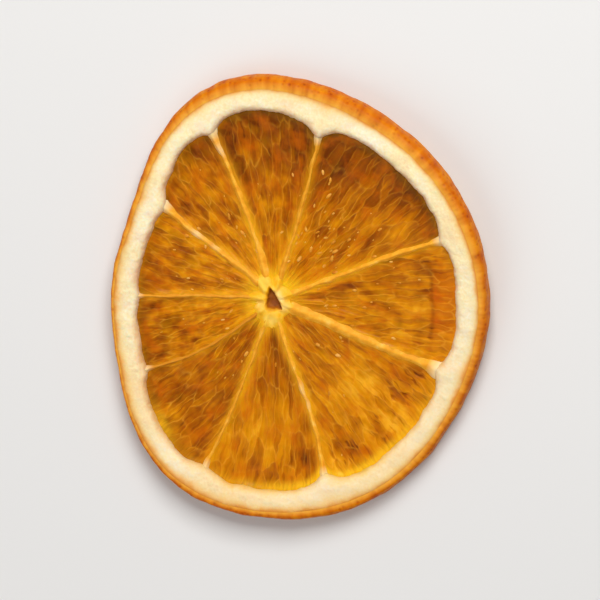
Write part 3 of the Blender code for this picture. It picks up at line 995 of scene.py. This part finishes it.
def pulp_surface(along, angle, radius, skin_share, side, sink=0.0):
    """Where the surface of the pulp lies there, on the upper face, side 1, or the under face."""
    fold_across = angle * PITH_EDGE_MEAN / PULP_FOLD_WIDTH
    folds = lumps(fold_across, radius / PULP_FOLD_LENGTH, PULP_PATTERN * side, 1.0)
    relief = PULP_RELIEF * folds * ramp(radius, 0.0, PULP_SMOOTH_RADIUS)
    climb = np.exp(-np.clip(pulp_edge(angle) - radius, 0.0, None) / PULP_CLIMB_WIDTH)
    height = pulp_level(along) + skin_share * SKIN_CLIMB_SHARE * MEMBRANE_RISE - sink
    height = height + (1.0 - skin_share) * (relief * (1.0 - climb) + PULP_CLIMB * climb)
    return settled(angle, radius, on_side(height, side))


def both(upper, under):
    """Puts what belongs to the two faces together, once round the segment."""
    return np.concatenate([upper, under[:, ::-1]], axis=1)


patches = [
    (*polar(math.radians(at), radius), size, amount) for at, radius, size, amount in PATCHES
]
red_middle, red_half_length, red_width = RED_BAND
tips = []
chance = np.random.default_rng(TIP_SEED)
for index, (inside, outside, mottling, gold, tip_count, apart) in enumerate(SEGMENTS):
    rows = np.linspace(0.0, 1.0, round(SEGMENT_LENGTH / PULP_PITCH))
    along = np.concatenate([rows, PULP_ENDS])[:, None]
    width = (membrane_angle(index + 1, 1.0) - membrane_angle(index, 1.0)) * PITH_EDGE_MEAN
    share = np.linspace(0.0, 1.0, round(width / PULP_PITCH_ACROSS))[None, :]
    angle, radius, aside, skin_share = pulp_place(index, along, share)
    middle = (membrane_angle(index, along) + membrane_angle(index + 1, along)) / 2
    across = (angle - middle) * np.sqrt(radius * PITH_EDGE_MEAN)
    halves, places = [], []
    for side, shift in ((1, 0.0), (-1, FACE_SHIFT)):
        halves.append(pulp_surface(along, angle, radius, skin_share, side))
        shifted = across + SEGMENT_SHIFT * index + shift
        places.append(np.stack([shifted, radius, np.zeros_like(radius)], axis=-1))
    to_pith = np.clip(pulp_edge(angle) - radius, 0.0, None)
    climb = np.exp(-to_pith / PULP_CLIMB_WIDTH)
    near_core = ramp(radius, CORE_STAIN_END, CORE_RADIUS)
    fade_out = ramp(along, 1.0, GLOW_END)

    darkness = inside + (outside - inside) * np.clip(along, 0.0, 1.0) ** TOAST_POWER
    # Painted shadow of the raised pith, with some toast, on the pulp just inside it.
    darkness = darkness + RIM_TOAST_AND_SHADOW * outside * fading(to_pith, RIM_TOAST_AND_SHADOW_WIDTH)
    darkness = darkness + spots(*polar(angle, radius), patches)
    flank = fading(aside - FLANK_DISTANCE, FLANK_WIDTH) * (share > 0.5) * fade_out
    stretch = fading(np.degrees(turned(angle, red_middle)), red_half_length, sharpness=4)
    line = stretch * fading(to_pith - red_width, BAND_LINE_WIDTH)
    darkness = darkness + FLANK_DARKNESS * flank + BAND_LINE_DARKNESS * line
    redder = RED_BAND_STRENGTH * stretch * ramp(to_pith, red_width, red_width - BAND_LINE_WIDTH)

    golden_wall = GILT[index] + (GILT[(index + 1) % len(GILT)] - GILT[index]) * share
    inwards = np.clip(GLOW_REACH - along, GLOW_AT_PITH, 1.0) * fade_out
    glow = GLOW_STRENGTH * golden_wall * inwards * fading(aside, GLOW_WIDTH)
    golden_core_and_lit_edge = gold * near_core**CORE_STAIN_POWER
    # Painted light on the pulp along the pith, beside its lit lower wall.
    for centre, half_length, reach, strength in LIT_EDGES:
        turn = np.degrees(turned(angle, centre))
        golden_core_and_lit_edge = golden_core_and_lit_edge + strength * fading(turn, half_length) * fading(to_pith, reach, sharpness=3)

    calm = CALM_AT_SKIN * skin_share * (1.0 + fade_out) / 2 + CALM_ON_CLIMB * climb
    opened = apart * ramp(along, SLIT_START, SLIT_FULL) * (1.0 - climb)
    opened = opened * ramp(aside, MEMBRANE_HALF_WIDTH, 2.0 * MEMBRANE_HALF_WIDTH)
    marks = {
        "toast_and_shade": darkness,
        "mottled": np.full(darkness.shape, mottling),
        "calm": np.clip(calm + CALM_AT_CORE * near_core, 0.0, 1.0),
        "glow": glow + GLOW_ON_CLIMB * climb,
        "golden_core_and_lit_edge": golden_core_and_lit_edge,
        "opened": opened,
        "redder": redder,
    }
    marks = {name: both(values, values) for name, values in marks.items()}
    marks["sac_place"] = both(*places)
    segment = tube(f"pulp_segment_{index + 1}", both(*halves), marks)
    grow(segment, sacs, PULP_TEXTURE)
    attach(segment, "root")
    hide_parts("orange_slice")
    for side in (1, -1):
        along = chance.triangular(*TIP_RANGE, tip_count)
        share = 0.5 + 0.5 * chance.uniform(-TIP_SPREAD, TIP_SPREAD, tip_count)
        angle, radius, _, skin_share = pulp_place(index, along, share)
        tips.append((angle, pulp_surface(along, angle, radius, skin_share, side, TIP_SINK)))


# The sac tips
# Where the knife cut through the pulp, the tips of some juice sacs came loose and dried as tiny
# pale grains, which stick to the pulp and point to the core.

TIP_SIZES = {"Grain Length": 0.7, "Grain Width": 0.32, "Grain Height": 0.26}
TIP_SIZE_LOG = (-0.15, 0.4)  # mean and spread of the logarithm of their size
TIP_SIZE_RANGE = (0.4, 1.7)
TIP_TILT = 0.25  # in radians, as the next one is: how unevenly they tilt and turn
TIP_TURN = 0.35
TIP_CLOUD_SIZE = 1.67

# Thin dried skin over a little juice glass, so it is lighter than the pulp round it.
tip_finish, tree, shader = new_finish(
    "dried_sac_tip",
    {
        "Roughness": 0.45,
        "IOR": 1.45,
        "Specular IOR Level": 0.2,
        "Subsurface Weight": 0.4,
        "Subsurface Radius": (1.0, 0.5, 0.1),
        "Subsurface Scale": 0.4 * MM,
    },
)
place = add(tree, "TexCoord", out="Object")
cloud = add(tree, "TexNoise", {"Vector": place, "Scale": 1 / (TIP_CLOUD_SIZE * MM), "Detail": 2.0})
skin = add(
    tree, "ValToRGB", {0: cloud}, stops=((0.35, "#CC7C10"), (0.5, "#E2942A"), (0.65, "#F0AE50"))
)
paint(shader, {"Base Color": skin})

# The grains tree puts a small spindle on each point, turned and sized as the point says.
grains, given, made = shape_tree("grains", TIP_SIZES)
spindle = add(grains, "GeometryNodeMeshUVSphere", {"Segments": 8, "Rings": 5, "Radius": 0.5})
size = add(
    grains, "CombineXYZ",
    {0: given["Grain Length"], 1: given["Grain Width"], 2: given["Grain Height"]},
)
share = add(grains, "GeometryNodeInputNamedAttribute", {"Name": "size"}, data_type="FLOAT")
size = add(grains, "VectorMath", {0: size, "Scale": share}, operation="SCALE")
lean = add(grains, "GeometryNodeInputNamedAttribute", {"Name": "lean"}, data_type="FLOAT_VECTOR")
lean = add(grains, "FunctionNodeEulerToRotation", {0: lean})
grain = add(
    grains, "GeometryNodeInstanceOnPoints",
    {"Points": given["Geometry"], "Instance": spindle, "Rotation": lean, "Scale": size},
)
finish_shape(grains, made, grain, tip_finish)

mesh = bpy.data.meshes.new("sac_tips")
mesh.from_pydata(np.concatenate([places for _, places in tips]).tolist(), [], [])
turns = np.concatenate([angle for angle, _ in tips])
lean = np.stack([np.zeros_like(turns), chance.normal(0.0, TIP_TILT, turns.size), turns], axis=1)
lean[:, 2] += chance.normal(0.0, TIP_TURN, turns.size)
sizes = np.clip(chance.lognormal(*TIP_SIZE_LOG, turns.size), *TIP_SIZE_RANGE)
mark(mesh, {"lean": lean, "size": sizes})
sac_tips = placed("sac_tips", mesh)
grow(sac_tips, grains, TIP_SIZES)
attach(sac_tips, "root")
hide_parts("orange_slice")


# The membranes
# The papery walls between the segments, seen edge on. As the pulp sank they were left standing
# as thin, crinkled ridges, which grow out of the pith and run together at the core.

MEMBRANE_PITCH = 0.3
STOUTNESS = (  # how thick each one is against the others
    0.8, 0.9, 1.05, 1.75, 1.15, 0.95, 1.2, 1.25, 0.9,
)
WALL_HALF_WIDTH = 0.54
WALL_CREST = 0.1
WALL_PINCH = 0.7  # above 0, so its ridge is sharper than an ellipse's
WALL_START = 2.1
WALL_START_DIP = 0.5  # how far it sinks into the core, over how much of its length
WALL_START_LENGTH = 1.5
WALL_CORE_SPREAD = 0.6
WALL_CORE_FADING = 6.0
WALL_END_RISE = 0.5  # how far it climbs to meet the pith, between which shares of its length
WALL_END_CLIMB = (0.92, 1.04)
WALL_PITH_SPREAD = 1.0
WALL_PITH_FLARE = (0.88, 1.04)
WALL_DRY_END = (0.96, 1.03)
WALL_ROOT = 0.9  # how far it runs on into the pith
MEMBRANE_CLOUD_SIZE = 1.11
MEMBRANE_TEXTURE = {"Crinkle Size": 2.4, "Crinkle": 0.5}
DRY_SPOTS = (  # wall, place along it, half length and strength of spots with white pith on them
    (7, 0.68, 0.05, 0.55),
    (7, 0.5, 0.04, 0.25),
    (2, 0.48, 0.04, 0.35),
    (2, 0.58, 0.03, 0.3),
    (6, 0.9, 0.04, 0.5),
)

# Carpel skin is pith-like but thin and soaked in juice, so it dries golden and see-through.
membrane_finish, tree, shader = new_finish(
    "dried_membrane",
    {
        "Roughness": 0.6,
        "IOR": 1.45,
        "Specular IOR Level": 0.25,
        "Subsurface Weight": 0.25,
        "Subsurface Radius": (1.0, 0.6, 0.2),
        "Subsurface Scale": 0.4 * MM,
    },
)
place = add(tree, "TexCoord", out="Object")
dry, gilt = (
    add(tree, "Attribute", out="Fac", attribute_name=name)
    for name in ("dryness", "gilt")
)
cloud = add(
    tree, "TexNoise", {"Vector": place, "Scale": 1 / (MEMBRANE_CLOUD_SIZE * MM), "Detail": 4.0}
)
skin = add(
    tree, "ValToRGB", {0: cloud},
    stops=((0.3, "#E8981A"), (0.48, "#F8AA24"), (0.62, "#FFB836"), (0.8, "#FFCC68")),
)
skin = add(tree, "Mix", {0: gilt, 6: colour("#C87A14"), 7: skin}, 2, data_type="RGBA")
skin = add(tree, "Mix", {0: dry, 6: skin, 7: colour("#FFE0A6")}, 2, data_type="RGBA")
bump = add(tree, "Bump", {"Height": cloud, "Distance": 0.15 * MM, "Strength": 0.5})
paint(shader, {"Base Color": skin, "Normal": bump})

# The wall tree runs a spindle-shaped wall along each line, then crinkles its edge.
walls, given, made = shape_tree("walls", MEMBRANE_TEXTURE)
lines = add(walls, "GeometryNodeMeshToCurve", {"Mesh": given["Geometry"]})
position = add(walls, "GeometryNodeInputPosition")
capture = walls.nodes.new("GeometryNodeCaptureAttribute")
capture.capture_items.new("VECTOR", "centre")
walls.links.new(lines, capture.inputs["Geometry"])
walls.links.new(position, capture.inputs["centre"])
lines, centre = capture.outputs["Geometry"], capture.outputs["centre"]
profile = add(walls, "GeometryNodeCurvePrimitiveCircle", {"Resolution": 16, "Radius": MM})
wall = add(
    walls, "GeometryNodeCurveToMesh", {"Curve": lines, "Profile Curve": profile, "Fill Caps": True}
)
half_width, half_height = (
    add(walls, "GeometryNodeInputNamedAttribute", {"Name": name}, data_type="FLOAT")
    for name in ("half_width", "half_height")
)
away = add(walls, "VectorMath", {0: position, 1: centre}, operation="SUBTRACT")
flat = add(walls, "VectorMath", {0: away, 1: (1.0, 1.0, 0.0)}, operation="MULTIPLY")
breadth = add(walls, "VectorMath", {0: flat}, 1, operation="LENGTH")
breadth = add(walls, "Math", {0: breadth, 1: 1 / MM}, operation="MULTIPLY")
pinch = add(walls, "Math", {0: breadth, 1: WALL_PINCH}, operation="POWER")
pinch = add(walls, "Math", {0: pinch, 1: half_width}, operation="MULTIPLY")
flat = add(walls, "VectorMath", {0: flat, "Scale": pinch}, operation="SCALE")
tall = add(walls, "VectorMath", {0: away, 1: (0.0, 0.0, 1.0)}, operation="MULTIPLY")
tall = add(walls, "VectorMath", {0: tall, "Scale": half_height}, operation="SCALE")
shaped = add(walls, "VectorMath", {0: flat, 1: tall}, operation="ADD")
shaped = add(walls, "VectorMath", {0: centre, 1: shaped}, operation="ADD")
scale = add(walls, "Math", {0: 1.0, 1: given["Crinkle Size"]}, operation="DIVIDE")
folds = add(walls, "TexNoise", {"Vector": shaped, "Scale": scale, "Detail": 2.0}, 1)
folds = add(walls, "VectorMath", {0: folds, 1: (0.5, 0.5, 0.5)}, operation="SUBTRACT")
folds = add(walls, "VectorMath", {0: folds, "Scale": given["Crinkle"]}, operation="SCALE")
wall = add(
    walls, "GeometryNodeSetPosition", {"Geometry": wall, "Position": shaped, "Offset": folds}
)
finish_shape(walls, made, wall, membrane_finish)

places, links = [], []
marks = {"half_width": [], "half_height": [], "dryness": [], "gilt": []}
for index, stoutness in enumerate(STOUTNESS):
    edge = pulp_edge(membrane_angle(index, 1.0))
    radius = np.linspace(WALL_START, edge + WALL_ROOT, round(SEGMENT_LENGTH / MEMBRANE_PITCH))
    along = (radius - CORE_RADIUS) / (edge - CORE_RADIUS)
    at_core = ramp(radius, WALL_START + WALL_START_LENGTH, WALL_START)
    ridge = pulp_level(along) + MEMBRANE_RISE + WALL_CREST - WALL_START_DIP * at_core**2
    ridge = ridge + WALL_END_RISE * ramp(along, *WALL_END_CLIMB) ** 2
    spread = 1.0 + WALL_CORE_SPREAD * np.exp(-WALL_CORE_FADING * np.clip(along, 0.0, 1.0))
    spread = spread + WALL_PITH_SPREAD * ramp(along, *WALL_PITH_FLARE) ** 2
    dry = ramp(along, *WALL_DRY_END)
    for at_wall, at, length, amount in DRY_SPOTS:
        if at_wall == index:
            dry = dry + amount * fading(along - at, length)
    first = len(places)
    places += settled(membrane_angle(index, along), radius, 0.0).tolist()
    links += [(step, step + 1) for step in range(first, len(places) - 1)]
    marks["half_width"] += (stoutness * WALL_HALF_WIDTH * spread).tolist()
    marks["half_height"] += ridge.tolist()
    marks["dryness"] += np.clip(dry, 0.0, 1.0).tolist()
    marks["gilt"] += [GILT[index]] * len(along)
mesh = bpy.data.meshes.new("membranes")
mesh.from_pydata(places, links, [])
mark(mesh, marks)
membranes = placed("membranes", mesh)
grow(membranes, walls, MEMBRANE_TEXTURE)
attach(membranes, "root")
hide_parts("orange_slice")


# The table, the light and the camera
# A plain pale table, a soft main light from the far side, which shades the pulp just inside
# the rim, and a dim even light all round. The camera looks down on the slice, 15 degrees off
# square towards the far right.

TABLE_HALF_WIDTH = 600.0
TABLE_DROP = 0.05
LIGHTS = (  # name, place in metres, width in metres and power in watts
    ("key_light", (0.11, 0.36, 0.46), 0.30, 3.2),
    ("fill_light", (-0.30, -0.35, 0.5), 0.6, 1.35),
)
SKY_STRENGTH = 0.24
CAMERA_TILT = 15.0
CAMERA_AZIMUTH = 50.0
CAMERA_DISTANCE = 900.0
VIEW_HEIGHT = 81.5  # of what the camera sees at the slice
SENSOR_SIZE = 36.0

table_finish, tree, shader = new_finish("pale_table", {"Roughness": 0.6})
shader.inputs["Base Color"].default_value = colour("#E6E4E1")
corners = [
    (x * TABLE_HALF_WIDTH * MM, y * TABLE_HALF_WIDTH * MM, -TABLE_DROP * MM)
    for x, y in ((-1, -1), (1, -1), (1, 1), (-1, 1))
]
mesh = bpy.data.meshes.new("table")
mesh.from_pydata(corners, [], [(0, 1, 2, 3)])
mesh.materials.append(table_finish)
table = placed("table", mesh)

target = Vector((0.0, 0.0, cad_bounds[1].z / 2))
for name, place, width, power in LIGHTS:
    lamp = bpy.data.lights.new(name, "AREA")
    lamp.size = width
    lamp.energy = power
    light = placed(name, lamp)
    light.location = place
    light.rotation_euler = (target - light.location).to_track_quat("-Z", "Y").to_euler()
world = bpy.data.worlds.new("studio")
world.use_nodes = True
sky = world.node_tree.nodes["Background"]
sky.inputs["Color"].default_value = colour("#F6F7FA")
sky.inputs["Strength"].default_value = SKY_STRENGTH
bpy.context.scene.world = world
bpy.context.scene.view_settings.view_transform = "Standard"

tilt, azimuth = math.radians(CAMERA_TILT), math.radians(CAMERA_AZIMUTH)
x, y = polar(azimuth, math.sin(tilt))
towards = Vector((x, y, math.cos(tilt)))
right = Vector((0, 1, 0)).cross(towards).normalized()
lens = bpy.data.cameras.new("camera")
lens.sensor_fit = "VERTICAL"
lens.sensor_width = lens.sensor_height = SENSOR_SIZE
lens.lens = SENSOR_SIZE * CAMERA_DISTANCE / VIEW_HEIGHT
camera = placed("camera", lens)
camera.location = target + towards * CAMERA_DISTANCE * MM
camera.rotation_euler = Matrix((right, towards.cross(right), towards)).transposed().to_euler()
bpy.context.scene.camera = camera
